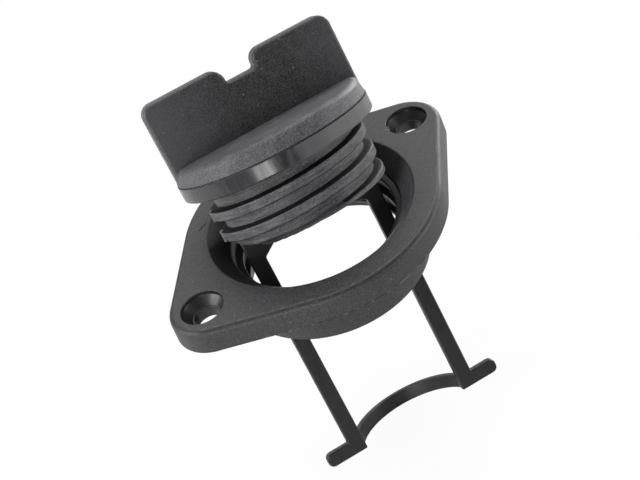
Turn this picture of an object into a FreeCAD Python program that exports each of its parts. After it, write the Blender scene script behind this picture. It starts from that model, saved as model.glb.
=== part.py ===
import FreeCAD, Part
import Sketcher
import math
import os

# Captive drain plug and its socket for a boat's hull, in millimetres.
# The socket lies on the hull: z = 0 is its back face, +Z points outward along the bore
# and +X runs from one screw hole to the other.
# The plug is shown pulled out of the bore and leaning in it, held by its retainer.

SIZES = [
    # socket flange
    ("flange_thickness", 5.2),
    ("flange_radius", 26.9),
    ("lobe_radius", 8.45),
    ("flange_half_length", 36.2),
    ("flange_edge_radius", 1.0),
    ("screw_spacing", 58.9),
    ("screw_hole_radius", 2.5),
    ("screw_hole_chamfer", 0.3),
    ("countersink_radius", 4.3),
    ("countersink_rim_depth", 0.9),
    ("countersink_ledge", 0.3),
    # socket bore and collar
    ("seat_radius", 21.0),
    ("seat_depth", 3.5),
    ("collar_radius", 20.5),
    ("collar_length", 10.5),
    ("collar_end_chamfer", 0.4),
    ("bore_end_radius", 17.25),
    # thread shared by the plug and the socket
    ("thread_pitch", 4.45),
    ("thread_core_radius", 15.4),
    ("thread_crest_radius", 17.15),
    ("crest_clearance", 0.5),
    ("core_clearance", 0.9),
    ("ridge_overlap", 0.4),
    ("ridge_root_width", 2.6),
    ("ridge_shoulder_width", 2.1),
    ("ridge_crown", 0.35),
    ("ridge_start_angle", 197),
    ("ridge_start_depth", 13.5),
    ("ridge_turns", 2.7),
    ("nut_ridge_root_width", 1.4),
    ("nut_ridge_shoulder_width", 0.8),
    ("nut_ridge_crown", 0.3),
    ("nut_ridge_start_angle", 307),
    ("nut_ridge_start_depth", 14.0),
    ("nut_ridge_turns", 2.14),
    # plug
    ("shank_length", 12.0),
    ("shank_end_chamfer", 0.4),
    ("shank_wall", 2.6),
    ("shank_hollow_depth", 10.0),
    ("boss_radius", 5.4),
    ("cap_radius", 20.2),
    ("cap_top_radius", 19.85),
    ("cap_thickness", 3.3),
    ("cap_edge_radius", 1.5),
    ("handle_length", 40.0),
    ("handle_rise", 13.3),
    ("handle_thickness", 5.0),
    ("handle_corner_radius", 2.4),
    ("handle_edge_radius", 0.7),
    ("notch_width", 6.2),
    ("notch_depth", 3.3),
    ("notch_offset", 0.2),
    ("notch_root_radius", 0.5),
    # seal ring
    ("seal_radius", 20.3),
    ("seal_thickness", 3.3),
    ("seal_fit", 0.05),
    ("seal_lower_radius", 0.4),
    ("seal_upper_radius", 0.3),
    # retainer
    ("leg_inner", 11.6),
    ("leg_width", 3.3),
    ("leg_thickness", 1.8),
    ("leg_offset", 0.5),
    ("retainer_length", 50.6),
    ("foot_reach", 20.3),
    ("foot_height", 2.95),
    ("foot_tip_radius", 1.2),
    ("leg_edge_radius", 0.35),
    ("bow_radius", 12.6),
    ("bow_centre_offset", 2.1),
    ("bow_wall", 1.3),
    ("bow_end_angle", 13),
    ("bridge_gap", 0.3),
    ("bridge_thickness", 1.4),
    ("haunch_height", 3.5),
    ("haunch_reach", 5.3),
    ("bridge_hub_radius", 5.0),
    ("stud_radius", 2.6),
    ("stud_fit", 0.05),
    ("stud_neck_length", 4.0),
    ("stud_head_radius", 3.1),
    ("stud_head_length", 1.6),
    ("stud_head_chamfer", 0.5),
    ("head_clearance", 0.3),
    # how far a cutting outline runs past the face that it opens
    ("cut_past", 1.0),
    # rest position of the plug, pulled out and leaning in the socket's mouth
    ("rest_x", 1.775),
    ("rest_y", 5.214),
    ("rest_height", 11.471),
    ("rest_turn", -19.57),
    ("rest_roll", 0.476),
    ("rest_tilt", 24.70),
]

doc = FreeCAD.newDocument("drain_plug")
sheet = doc.addObject("Spreadsheet::Sheet", "sizes")
for row, (alias, value) in enumerate(SIZES, start=1):
    sheet.set("A%d" % row, alias)
    sheet.set("B%d" % row, str(value))
    sheet.setAlias("B%d" % row, alias)
doc.recompute()


def size(expression):
    """The value of an expression in the sheet's sizes."""
    value = sheet.evalExpression(expression)
    return float(getattr(value, "Value", value))


def origin_plane(body, role):
    for feature in body.Origin.OriginFeatures:
        if feature.Role == role:
            return feature
    raise ValueError("no plane " + role)


def new_sketch(body, name, role):
    sketch = body.newObject("Sketcher::SketchObject", name)
    sketch.AttachmentSupport = [(origin_plane(body, role), "")]
    sketch.MapMode = "FlatFace"
    return sketch


def bind(sketch, kind, references, expression):
    """Add one dimension to a sketch and tie it to the sheet."""
    number = sketch.addConstraint(Sketcher.Constraint(kind, *references, size(expression)))
    sketch.setExpression("Constraints[%d]" % number, expression)


def place_point(sketch, geometry, end, across, along):
    """Fix one sketch point by two signed distances from the origin."""
    for kind, axis, expression in (("DistanceX", -2, across), ("DistanceY", -1, along)):
        if expression == "0":
            sketch.addConstraint(Sketcher.Constraint("PointOnObject", geometry, end, axis))
        else:
            bind(sketch, kind, (-1, 1, geometry, end), expression)


def add_polygon(sketch, points):
    """A closed outline of straight lines through points given as expression pairs."""
    places = [FreeCAD.Vector(size(x), size(y), 0) for x, y in points]
    first = sketch.GeometryCount
    count = len(points)
    for number in range(count):
        sketch.addGeometry(Part.LineSegment(places[number], places[(number + 1) % count]), False)
    for number in range(count):
        following = first + (number + 1) % count
        sketch.addConstraint(Sketcher.Constraint("Coincident", first + number, 2, following, 1))
        place_point(sketch, first + number, 1, points[number][0], points[number][1])


def add_circle(sketch, across, along, radius):
    centre = FreeCAD.Vector(size(across), size(along), 0)
    circle = sketch.addGeometry(Part.Circle(centre, FreeCAD.Vector(0, 0, 1), size(radius)), False)
    place_point(sketch, circle, 3, across, along)
    bind(sketch, "Radius", (circle,), radius)


def pad(body, sketch, name, length, reversed_side=False, midplane=False):
    feature = body.newObject("PartDesign::Pad", name)
    feature.Profile = sketch
    feature.setExpression("Length", length)
    feature.Reversed = reversed_side
    feature.Midplane = midplane
    doc.recompute()
    return feature


def revolve(body, sketch, name, kind="PartDesign::Revolution"):
    feature = body.newObject(kind, name)
    feature.Profile = sketch
    feature.ReferenceAxis = (sketch, ["V_Axis"])
    feature.Angle = 360
    doc.recompute()
    return feature


def add_rounded_outline(sketch, points, bend, bend_top, bend_radius):
    """A closed outline of straight lines, with one arc between points bend and bend + 1."""
    places = [FreeCAD.Vector(size(x), size(y), 0) for x, y in points]
    crest = FreeCAD.Vector(size(bend_top[0]), size(bend_top[1]), 0)
    count = len(points)
    ends = {}
    for number in range(count):
        begin, finish = places[number], places[(number + 1) % count]
        ends[number] = (1, 2)
        if number == bend:
            sketch.addGeometry(Part.Arc(begin, crest, finish), False)
            turn = (crest - begin).cross(finish - crest).z
            ends[number] = (1, 2) if turn > 0 else (2, 1)
        else:
            sketch.addGeometry(Part.LineSegment(begin, finish), False)
    for number in range(count):
        following = (number + 1) % count
        sketch.addConstraint(Sketcher.Constraint("Coincident", number, ends[number][1],
                                                 following, ends[following][0]))
        place_point(sketch, number, ends[number][0], points[number][0], points[number][1])
    bind(sketch, "Radius", (bend,), bend_radius)


def spiral_ridge(body, name, points, crest, crest_radius, start_angle, turns):
    """A ridge of the given section wound right-handed about the body's own Z axis."""
    section = new_sketch(body, name + "_section", "XZ_Plane")
    turned = FreeCAD.Rotation(FreeCAD.Vector(0, 1, 0), size(start_angle))
    section.AttachmentOffset = FreeCAD.Placement(FreeCAD.Vector(0, 0, 0), turned)
    section.setExpression("AttachmentOffset.Rotation.Angle", start_angle + " * 1 deg")
    add_rounded_outline(section, points, 2, crest, crest_radius)
    ridge = body.newObject("PartDesign::AdditiveHelix", name)
    ridge.Profile = section
    ridge.ReferenceAxis = (section, ["V_Axis"])
    ridge.Mode = "pitch-turns-angle"
    ridge.setExpression("Pitch", "sizes.thread_pitch")
    ridge.setExpression("Turns", turns)
    ridge.LeftHanded = False
    doc.recompute()
    return ridge


def edges_where(shape, test):
    """Names of the edges whose middle point and edge pass the test."""
    names = []
    for number, edge in enumerate(shape.Edges, start=1):
        middle = edge.valueAt((edge.FirstParameter + edge.LastParameter) / 2)
        if test(middle, edge):
            names.append("Edge%d" % number)
    return names


def round_edges(body, name, base, names, radius, kind="PartDesign::Fillet", key="Radius"):
    if not names:
        raise ValueError(name + " finds no edge")
    feature = body.newObject(kind, name)
    feature.Base = (base, names)
    feature.setExpression(key, radius)
    doc.recompute()
    return feature


def is_near(value, target, margin=0.02):
    return abs(value - target) < margin


# Socket: flange with two lobes
socket = doc.addObject("PartDesign::Body", "socket")
outline = new_sketch(socket, "flange_outline", "XY_Plane")
lobe_x = size("sizes.flange_half_length - sizes.lobe_radius")
main_r = size("sizes.flange_radius")
lobe_r = size("sizes.lobe_radius")
lean = math.degrees(math.acos((main_r - lobe_r) / lobe_x))
UP = FreeCAD.Vector(0, 0, 1)


def arc_from(centre_x, radius, begin, finish):
    circle = Part.Circle(FreeCAD.Vector(centre_x, 0, 0), UP, radius)
    return Part.ArcOfCircle(circle, math.radians(begin), math.radians(finish))


def rim_point(centre_x, radius, angle):
    turn = math.radians(angle)
    return FreeCAD.Vector(centre_x + radius * math.cos(turn), radius * math.sin(turn), 0)


# Counter-clockwise from the right lobe: arc, line, top arc, line, left lobe, line, bottom arc, line.
outline.addGeometry(arc_from(lobe_x, lobe_r, -lean, lean), False)
outline.addGeometry(Part.LineSegment(rim_point(lobe_x, lobe_r, lean), rim_point(0, main_r, lean)), False)
outline.addGeometry(arc_from(0, main_r, lean, 180 - lean), False)
outline.addGeometry(Part.LineSegment(rim_point(0, main_r, 180 - lean),
                                     rim_point(-lobe_x, lobe_r, 180 - lean)), False)
outline.addGeometry(arc_from(-lobe_x, lobe_r, 180 - lean, 180 + lean), False)
outline.addGeometry(Part.LineSegment(rim_point(-lobe_x, lobe_r, 180 + lean),
                                     rim_point(0, main_r, 180 + lean)), False)
outline.addGeometry(arc_from(0, main_r, 180 + lean, 360 - lean), False)
outline.addGeometry(Part.LineSegment(rim_point(0, main_r, 360 - lean),
                                     rim_point(lobe_x, lobe_r, 360 - lean)), False)
for piece in range(8):
    outline.addConstraint(Sketcher.Constraint("Tangent", piece, 2, (piece + 1) % 8, 1))
place_point(outline, 0, 3, "sizes.flange_half_length - sizes.lobe_radius", "0")
place_point(outline, 4, 3, "-(sizes.flange_half_length - sizes.lobe_radius)", "0")
place_point(outline, 2, 3, "0", "0")
outline.addConstraint(Sketcher.Constraint("Coincident", 6, 3, 2, 3))
for arc, expression in ((0, "sizes.lobe_radius"), (4, "sizes.lobe_radius"),
                        (2, "sizes.flange_radius"), (6, "sizes.flange_radius")):
    bind(outline, "Radius", (arc,), expression)
flange = pad(socket, outline, "flange", "sizes.flange_thickness")
top_z = size("sizes.flange_thickness")
round_edges(socket, "flange_edge", flange,
            edges_where(flange.Shape, lambda middle, edge: is_near(middle.z, top_z)),
            "sizes.flange_edge_radius")

# Socket: collar behind the flange, conical seat and a bore that narrows towards its end
collar_sketch = new_sketch(socket, "collar_outline", "XY_Plane")
add_circle(collar_sketch, "0", "0", "sizes.collar_radius")
collar = pad(socket, collar_sketch, "collar", "sizes.collar_length", reversed_side=True)
collar_z = -size("sizes.collar_length")
round_edges(socket, "collar_end", collar,
            edges_where(collar.Shape, lambda middle, edge: is_near(middle.z, collar_z)),
            "sizes.collar_end_chamfer", "PartDesign::Chamfer", "Size")
BORE = "sizes.thread_crest_radius + sizes.crest_clearance"
bore_sketch = new_sketch(socket, "bore_outline", "XZ_Plane")
add_polygon(bore_sketch, [
    ("0", "-sizes.collar_length - sizes.cut_past"),
    ("sizes.bore_end_radius", "-sizes.collar_length - sizes.cut_past"),
    ("sizes.bore_end_radius", "-sizes.collar_length"),
    (BORE, "sizes.flange_thickness - sizes.seat_depth"),
    ("sizes.seat_radius", "sizes.flange_thickness"),
    ("sizes.seat_radius", "sizes.flange_thickness + sizes.cut_past"),
    ("0", "sizes.flange_thickness + sizes.cut_past"),
])
revolve(socket, bore_sketch, "bore", "PartDesign::Groove")

# Socket: countersunk screw holes, one cut and its mirror image
hole_sketch = new_sketch(socket, "screw_hole_outline", "XZ_Plane")
HALF = "sizes.screw_spacing / 2"
FLARE = "sizes.countersink_radius - sizes.screw_hole_radius - sizes.countersink_ledge"
CONE_FOOT = "sizes.flange_thickness - sizes.countersink_rim_depth - (" + FLARE + ")"
add_polygon(hole_sketch, [
    (HALF, "-sizes.cut_past"),
    (HALF + " + sizes.screw_hole_radius + sizes.screw_hole_chamfer + sizes.cut_past", "-sizes.cut_past"),
    (HALF + " + sizes.screw_hole_radius", "sizes.screw_hole_chamfer"),
    (HALF + " + sizes.screw_hole_radius", CONE_FOOT),
    (HALF + " + sizes.screw_hole_radius + sizes.countersink_ledge", CONE_FOOT),
    (HALF + " + sizes.countersink_radius", "sizes.flange_thickness - sizes.countersink_rim_depth"),
    (HALF + " + sizes.countersink_radius", "sizes.flange_thickness + sizes.cut_past"),
    (HALF, "sizes.flange_thickness + sizes.cut_past"),
])
half = size(HALF)
axis_low = FreeCAD.Vector(half, -size("sizes.cut_past"), 0)
axis_high = FreeCAD.Vector(half, size("sizes.flange_thickness + sizes.cut_past"), 0)
hole_axis = hole_sketch.addGeometry(Part.LineSegment(axis_low, axis_high), True)
hole_sketch.addConstraint(Sketcher.Constraint("Vertical", hole_axis))
hole_sketch.addConstraint(Sketcher.Constraint("Coincident", hole_axis, 1, 0, 1))
bind(hole_sketch, "DistanceY", (hole_axis, 1, hole_axis, 2), "sizes.flange_thickness + 2 * sizes.cut_past")
screw_hole = socket.newObject("PartDesign::Groove", "screw_hole")
screw_hole.Profile = hole_sketch
screw_hole.ReferenceAxis = (hole_sketch, ["Axis0"])
screw_hole.Angle = 360
doc.recompute()
both_holes = socket.newObject("PartDesign::Mirrored", "both_screw_holes")
both_holes.Originals = [screw_hole]
both_holes.MirrorPlane = (origin_plane(socket, "YZ_Plane"), [""])
socket.Tip = both_holes
doc.recompute()

# Socket: internal thread ridge
NUT_CREST = "sizes.thread_core_radius + sizes.core_clearance"
NUT_START = "sizes.flange_thickness - sizes.nut_ridge_start_depth"
NUT_CROWN = ("(sizes.nut_ridge_crown^2 + (sizes.nut_ridge_shoulder_width / 2)^2)"
             " / (2 * sizes.nut_ridge_crown)")
nut_ridge = spiral_ridge(socket, "socket_thread", [
    (BORE + " + sizes.ridge_overlap", NUT_START + " - sizes.nut_ridge_root_width / 2"),
    (BORE, NUT_START + " - sizes.nut_ridge_root_width / 2"),
    (NUT_CREST + " + sizes.nut_ridge_crown", NUT_START + " - sizes.nut_ridge_shoulder_width / 2"),
    (NUT_CREST + " + sizes.nut_ridge_crown", NUT_START + " + sizes.nut_ridge_shoulder_width / 2"),
    (BORE, NUT_START + " + sizes.nut_ridge_root_width / 2"),
    (BORE + " + sizes.ridge_overlap", NUT_START + " + sizes.nut_ridge_root_width / 2"),
], (NUT_CREST, NUT_START), NUT_CROWN, "sizes.nut_ridge_start_angle", "sizes.nut_ridge_turns")

# Plug: wing handle with a notch in its top edge; the plug's own z = 0 is the seal's lower face
plug = doc.addObject("PartDesign::Body", "plug")
wing = new_sketch(plug, "handle_outline", "XZ_Plane")
HANDLE_END = "sizes.handle_length / 2"
CAP_TOP = "sizes.seal_thickness + sizes.cap_thickness"
HANDLE_TOP = CAP_TOP + " + sizes.handle_rise"
NOTCH_FLOOR = HANDLE_TOP + " - sizes.notch_depth"
NOTCH_LEFT = "sizes.notch_offset - sizes.notch_width / 2"
NOTCH_RIGHT = "sizes.notch_offset + sizes.notch_width / 2"
add_polygon(wing, [
    ("-" + HANDLE_END, "sizes.seal_thickness"),
    (HANDLE_END, "sizes.seal_thickness"),
    (HANDLE_END, HANDLE_TOP),
    (NOTCH_RIGHT, HANDLE_TOP),
    (NOTCH_RIGHT, NOTCH_FLOOR),
    (NOTCH_LEFT, NOTCH_FLOOR),
    (NOTCH_LEFT, HANDLE_TOP),
    ("-" + HANDLE_END, HANDLE_TOP),
])
handle = pad(plug, wing, "handle", "sizes.handle_thickness", midplane=True)
handle_z = size(HANDLE_TOP)
floor_z = size(NOTCH_FLOOR)
base_z = size("sizes.seal_thickness")
face_y = size("sizes.handle_thickness / 2")


def is_across(middle, level):
    """An edge that crosses the handle's thickness at the given height."""
    return is_near(middle.y, 0) and is_near(middle.z, level)


corners = round_edges(plug, "handle_corners", handle,
                      edges_where(handle.Shape, lambda middle, edge: is_across(middle, handle_z)),
                      "sizes.handle_corner_radius")
roots = round_edges(plug, "notch_roots", corners,
                    edges_where(corners.Shape, lambda middle, edge: is_across(middle, floor_z)),
                    "sizes.notch_root_radius")
round_edges(plug, "handle_edges", roots,
            edges_where(roots.Shape, lambda middle, edge: is_near(abs(middle.y), face_y)
                        and not is_near(middle.z, base_z)),
            "sizes.handle_edge_radius")

# Plug: stepped cap and shank, turned about the plug's own axis
turned = new_sketch(plug, "cap_and_shank_outline", "XZ_Plane")
ROUND_IN = "sizes.cap_edge_radius * (1 - cos(45 deg))"
add_rounded_outline(turned, [
    ("0", "-sizes.shank_length"),
    ("sizes.thread_core_radius", "-sizes.shank_length"),
    ("sizes.thread_core_radius", "sizes.seal_thickness"),
    ("sizes.cap_radius", "sizes.seal_thickness"),
    ("sizes.cap_top_radius", CAP_TOP + " - sizes.cap_edge_radius"),
    ("sizes.cap_top_radius - sizes.cap_edge_radius", CAP_TOP),
    ("0", CAP_TOP),
], 4, ("sizes.cap_top_radius - " + ROUND_IN, CAP_TOP + " - " + ROUND_IN), "sizes.cap_edge_radius")
revolve(plug, turned, "cap_and_shank")

# Plug: hollow shank with a boss that takes the retainer's stud
hollow_sketch = new_sketch(plug, "hollow_outline", "XZ_Plane")
HOLLOW_TOP = "sizes.shank_hollow_depth - sizes.shank_length"
HOLLOW_WALL = "sizes.thread_core_radius - sizes.shank_wall"
add_polygon(hollow_sketch, [
    ("sizes.boss_radius", "-sizes.shank_length - sizes.cut_past"),
    (HOLLOW_WALL, "-sizes.shank_length - sizes.cut_past"),
    (HOLLOW_WALL, HOLLOW_TOP),
    ("sizes.boss_radius", HOLLOW_TOP),
])
revolve(plug, hollow_sketch, "hollow", "PartDesign::Groove")
socket_sketch = new_sketch(plug, "stud_bore_outline", "XZ_Plane")
STUD_BORE = "sizes.stud_radius + sizes.stud_fit"
HEAD_BORE = "sizes.stud_head_radius + sizes.head_clearance"
SHOULDER = "-sizes.shank_length - sizes.bridge_gap + sizes.stud_neck_length - sizes.head_clearance"
HEAD_TOP = ("-sizes.shank_length - sizes.bridge_gap + sizes.stud_neck_length"
            " + sizes.stud_head_length + sizes.head_clearance")
add_polygon(socket_sketch, [
    ("0", "-sizes.shank_length - sizes.cut_past"),
    (STUD_BORE, "-sizes.shank_length - sizes.cut_past"),
    (STUD_BORE, SHOULDER),
    (HEAD_BORE, SHOULDER),
    (HEAD_BORE, HEAD_TOP),
    ("0", HEAD_TOP),
])
stud_bore = revolve(plug, socket_sketch, "stud_bore", "PartDesign::Groove")
end_z = -size("sizes.shank_length")
core_r = size("sizes.thread_core_radius")
round_edges(plug, "shank_end", stud_bore,
            edges_where(stud_bore.Shape, lambda middle, edge: is_near(middle.z, end_z)
                        and is_near(math.hypot(middle.x, middle.y), core_r)),
            "sizes.shank_end_chamfer", "PartDesign::Chamfer", "Size")

# Plug: thread ridge, wound from below the end of the shank and trimmed level with it
RIDGE_START = "-sizes.ridge_start_depth"
RIDGE_SHOULDER = "sizes.thread_crest_radius - sizes.ridge_crown"
RIDGE_CROWN = ("(sizes.ridge_crown^2 + (sizes.ridge_shoulder_width / 2)^2)"
               " / (2 * sizes.ridge_crown)")
spiral_ridge(plug, "plug_thread", [
    ("sizes.thread_core_radius - sizes.ridge_overlap", RIDGE_START + " - sizes.ridge_root_width / 2"),
    ("sizes.thread_core_radius", RIDGE_START + " - sizes.ridge_root_width / 2"),
    (RIDGE_SHOULDER, RIDGE_START + " - sizes.ridge_shoulder_width / 2"),
    (RIDGE_SHOULDER, RIDGE_START + " + sizes.ridge_shoulder_width / 2"),
    ("sizes.thread_core_radius", RIDGE_START + " + sizes.ridge_root_width / 2"),
    ("sizes.thread_core_radius - sizes.ridge_overlap", RIDGE_START + " + sizes.ridge_root_width / 2"),
], ("sizes.thread_crest_radius", RIDGE_START), RIDGE_CROWN, "sizes.ridge_start_angle", "sizes.ridge_turns")
trim_sketch = new_sketch(plug, "shank_end_trim", "XZ_Plane")
TRIM = "sizes.ridge_start_depth + sizes.ridge_root_width"
add_polygon(trim_sketch, [
    ("0", "-(" + TRIM + ")"),
    ("sizes.cap_radius", "-(" + TRIM + ")"),
    ("sizes.cap_radius", "-sizes.shank_length"),
    ("0", "-sizes.shank_length"),
])
revolve(plug, trim_sketch, "shank_end_face", "PartDesign::Groove")

# Seal ring: soft washer at the root of the shank
seal = doc.addObject("PartDesign::Body", "seal_ring")
seal_sketch = new_sketch(seal, "seal_outline", "XZ_Plane")
SEAL_BORE = "sizes.thread_core_radius + sizes.seal_fit"
add_polygon(seal_sketch, [
    (SEAL_BORE, "0"),
    ("sizes.seal_radius", "0"),
    ("sizes.seal_radius", "sizes.seal_thickness"),
    (SEAL_BORE, "sizes.seal_thickness"),
])
ring = revolve(seal, seal_sketch, "ring")
seal_r = size("sizes.seal_radius")
seal_z = size("sizes.seal_thickness")


def on_seal_rim(middle, level):
    return is_near(middle.z, level) and is_near(math.hypot(middle.x, middle.y), seal_r)


lower = round_edges(seal, "seal_lower_edge", ring,
                    edges_where(ring.Shape, lambda middle, edge: on_seal_rim(middle, 0)),
                    "sizes.seal_lower_radius")
round_edges(seal, "seal_upper_edge", lower,
            edges_where(lower.Shape, lambda middle, edge: on_seal_rim(middle, seal_z)),
            "sizes.seal_upper_radius")

# Retainer: two legs with outward feet, joined at the top by a bridge with haunched corners
retainer = doc.addObject("PartDesign::Body", "retainer")
frame_sketch = new_sketch(retainer, "legs_outline", "XZ_Plane")
frame_sketch.AttachmentOffset = FreeCAD.Placement(
    FreeCAD.Vector(0, 0, -size("sizes.leg_offset")), FreeCAD.Rotation())
frame_sketch.setExpression("AttachmentOffset.Base.z", "-sizes.leg_offset * 1 mm")
BRIDGE_TOP = "-sizes.shank_length - sizes.bridge_gap"
BRIDGE_LOW = "-sizes.shank_length - sizes.bridge_gap - sizes.bridge_thickness"
FOOT_LOW = "-sizes.shank_length - sizes.bridge_gap - sizes.retainer_length"
FOOT_TOP = FOOT_LOW + " + sizes.foot_height"
HAUNCH_LOW = BRIDGE_LOW + " - sizes.haunch_height"
HAUNCH_IN = "sizes.leg_inner - sizes.haunch_reach"
LEG_IN = "sizes.leg_inner"
LEG_OUT = "sizes.leg_inner + sizes.leg_width"
add_polygon(frame_sketch, [
    ("-(" + LEG_OUT + ")", BRIDGE_TOP),
    ("-(" + LEG_OUT + ")", FOOT_TOP),
    ("-sizes.foot_reach", FOOT_TOP),
    ("-sizes.foot_reach", FOOT_LOW),
    ("-(" + LEG_IN + ")", FOOT_LOW),
    ("-(" + LEG_IN + ")", HAUNCH_LOW),
    ("-(" + HAUNCH_IN + ")", BRIDGE_LOW),
    (HAUNCH_IN, BRIDGE_LOW),
    (LEG_IN, HAUNCH_LOW),
    (LEG_IN, FOOT_LOW),
    ("sizes.foot_reach", FOOT_LOW),
    ("sizes.foot_reach", FOOT_TOP),
    (LEG_OUT, FOOT_TOP),
    (LEG_OUT, BRIDGE_TOP),
])
legs = pad(retainer, frame_sketch, "legs", "sizes.leg_thickness", reversed_side=True)
reach = size("sizes.foot_reach")
leg_deep = size("sizes.leg_thickness")
tips = round_edges(retainer, "foot_tips", legs,
                   edges_where(legs.Shape, lambda middle, edge: is_near(abs(middle.x), reach)
                               and is_near(edge.Length, leg_deep)),
                   "sizes.foot_tip_radius")
leg_out = size(LEG_OUT)
leg_in = size(LEG_IN)
foot_top = size(FOOT_TOP)
bridge_low = size(BRIDGE_LOW)


def is_leg_edge(middle, edge):
    """A long edge between the foot and the bridge."""
    beside = is_near(abs(middle.x), leg_out) or is_near(abs(middle.x), leg_in)
    return beside and edge.Length > leg_deep * 2 and foot_top < middle.z < bridge_low


round_edges(retainer, "leg_edges", tips, edges_where(tips.Shape, is_leg_edge), "sizes.leg_edge_radius")

# Retainer: curved bow between the feet
bow_sketch = new_sketch(retainer, "bow_outline", "XY_Plane")
bow_z = size(FOOT_LOW)
bow_sketch.AttachmentOffset = FreeCAD.Placement(FreeCAD.Vector(0, 0, bow_z), FreeCAD.Rotation())
bow_sketch.setExpression("AttachmentOffset.Base.z", "(" + FOOT_LOW + ") * 1 mm")
inner_r = size("sizes.bow_radius")
outer_r = size("sizes.bow_radius + sizes.bow_wall")
bow_angle = size("sizes.bow_end_angle")
bow_centre = FreeCAD.Vector(0, -size("sizes.bow_centre_offset"), 0)


def bow_point(radius, angle):
    turn = math.radians(angle)
    return FreeCAD.Vector(bow_centre.x + radius * math.cos(turn), bow_centre.y + radius * math.sin(turn), 0)


for radius in (inner_r, outer_r):
    bow_sketch.addGeometry(Part.ArcOfCircle(Part.Circle(bow_centre, UP, radius),
                                            math.radians(bow_angle), math.radians(180 - bow_angle)), False)
for angle in (bow_angle, 180 - bow_angle):
    bow_sketch.addGeometry(Part.LineSegment(bow_point(inner_r, angle), bow_point(outer_r, angle)), False)
bow_sketch.addConstraint(Sketcher.Constraint("Coincident", 0, 1, 2, 1))
bow_sketch.addConstraint(Sketcher.Constraint("Coincident", 1, 1, 2, 2))
bow_sketch.addConstraint(Sketcher.Constraint("Coincident", 0, 2, 3, 1))
bow_sketch.addConstraint(Sketcher.Constraint("Coincident", 1, 2, 3, 2))
bow_sketch.addConstraint(Sketcher.Constraint("Coincident", 0, 3, 1, 3))
place_point(bow_sketch, 0, 3, "0", "-sizes.bow_centre_offset")
bind(bow_sketch, "Radius", (0,), "sizes.bow_radius")
bind(bow_sketch, "Radius", (1,), "sizes.bow_radius + sizes.bow_wall")
END_HEIGHT = "sizes.bow_radius * sin(sizes.bow_end_angle * 1 deg) - sizes.bow_centre_offset"
OUTER_HEIGHT = ("(sizes.bow_radius + sizes.bow_wall) * sin(sizes.bow_end_angle * 1 deg)"
                " - sizes.bow_centre_offset")
for line in (2, 3):
    bind(bow_sketch, "DistanceY", (-1, 1, line, 1), END_HEIGHT)
    bind(bow_sketch, "DistanceY", (-1, 1, line, 2), OUTER_HEIGHT)
pad(retainer, bow_sketch, "bow", "sizes.foot_height")

# Retainer: hub and snap stud that turn in the plug's boss
hub_sketch = new_sketch(retainer, "hub_outline", "XZ_Plane")
HEAD_BASE = BRIDGE_TOP + " + sizes.stud_neck_length"
STUD_TOP = HEAD_BASE + " + sizes.stud_head_length"
add_polygon(hub_sketch, [
    ("0", BRIDGE_LOW),
    ("sizes.bridge_hub_radius", BRIDGE_LOW),
    ("sizes.bridge_hub_radius", BRIDGE_TOP),
    ("sizes.stud_radius", BRIDGE_TOP),
    ("sizes.stud_radius", HEAD_BASE),
    ("sizes.stud_head_radius", HEAD_BASE),
    ("sizes.stud_head_radius", STUD_TOP + " - sizes.stud_head_chamfer"),
    ("sizes.stud_head_radius - sizes.stud_head_chamfer", STUD_TOP),
    ("0", STUD_TOP),
])
revolve(retainer, hub_sketch, "hub_and_stud")

# Rest position shared by the plug, its seal and its retainer
rest_spot = FreeCAD.Vector(size("sizes.rest_x"), size("sizes.rest_y"),
                           size("sizes.rest_height + sizes.flange_thickness"))
rest_pose = FreeCAD.Rotation(size("sizes.rest_turn"), size("sizes.rest_roll"), -size("sizes.rest_tilt"))
for body in (plug, seal, retainer):
    body.Placement = FreeCAD.Placement(rest_spot, rest_pose)
doc.recompute()

# Checks and files
for item in doc.Objects:
    if "Invalid" in item.State or "Error" in item.State:
        raise ValueError(item.Name + " is not sound")
os.makedirs("parts", exist_ok=True)
for body in (socket, plug, seal, retainer):
    shape = body.Shape
    if shape.isNull() or not shape.isValid() or len(shape.Solids) != 1:
        raise ValueError(body.Label + " is not one valid solid")
    print(body.Label, "volume mm3", round(shape.Volume, 1))
    shape.exportStep(os.path.join("parts", body.Label + ".step"))
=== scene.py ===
import math

import bmesh
import bpy
from bpy.props import FloatProperty, FloatVectorProperty, PointerProperty
from mathutils import Euler, Matrix, Vector


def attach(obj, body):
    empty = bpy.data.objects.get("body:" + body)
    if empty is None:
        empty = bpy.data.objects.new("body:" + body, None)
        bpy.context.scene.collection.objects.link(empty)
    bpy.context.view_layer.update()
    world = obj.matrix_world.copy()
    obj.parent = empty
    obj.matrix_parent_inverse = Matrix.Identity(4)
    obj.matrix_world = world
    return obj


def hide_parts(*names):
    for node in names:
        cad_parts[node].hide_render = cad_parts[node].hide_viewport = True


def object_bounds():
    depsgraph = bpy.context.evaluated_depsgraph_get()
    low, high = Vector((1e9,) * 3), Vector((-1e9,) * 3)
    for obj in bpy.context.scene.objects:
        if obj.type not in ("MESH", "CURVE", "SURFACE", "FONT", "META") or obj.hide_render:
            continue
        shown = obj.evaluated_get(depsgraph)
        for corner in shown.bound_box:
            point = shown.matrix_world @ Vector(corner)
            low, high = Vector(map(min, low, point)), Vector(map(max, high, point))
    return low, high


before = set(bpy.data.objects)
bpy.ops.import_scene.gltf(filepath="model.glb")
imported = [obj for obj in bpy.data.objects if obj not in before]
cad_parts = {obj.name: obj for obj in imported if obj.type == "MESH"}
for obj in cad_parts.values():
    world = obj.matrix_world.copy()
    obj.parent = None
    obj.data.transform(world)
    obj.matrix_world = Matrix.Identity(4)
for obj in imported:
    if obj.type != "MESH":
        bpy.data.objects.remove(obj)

bl_info = {
    "name": "Captive drain plug",
    "version": (1, 0, 0),
    "blender": (4, 5, 0),
    "location": "View3D > Sidebar > Drain plug",
    "description": "Models a boat's captive drain plug and its flange socket over the packed CAD frame",
    "category": "Object",
}

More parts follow.
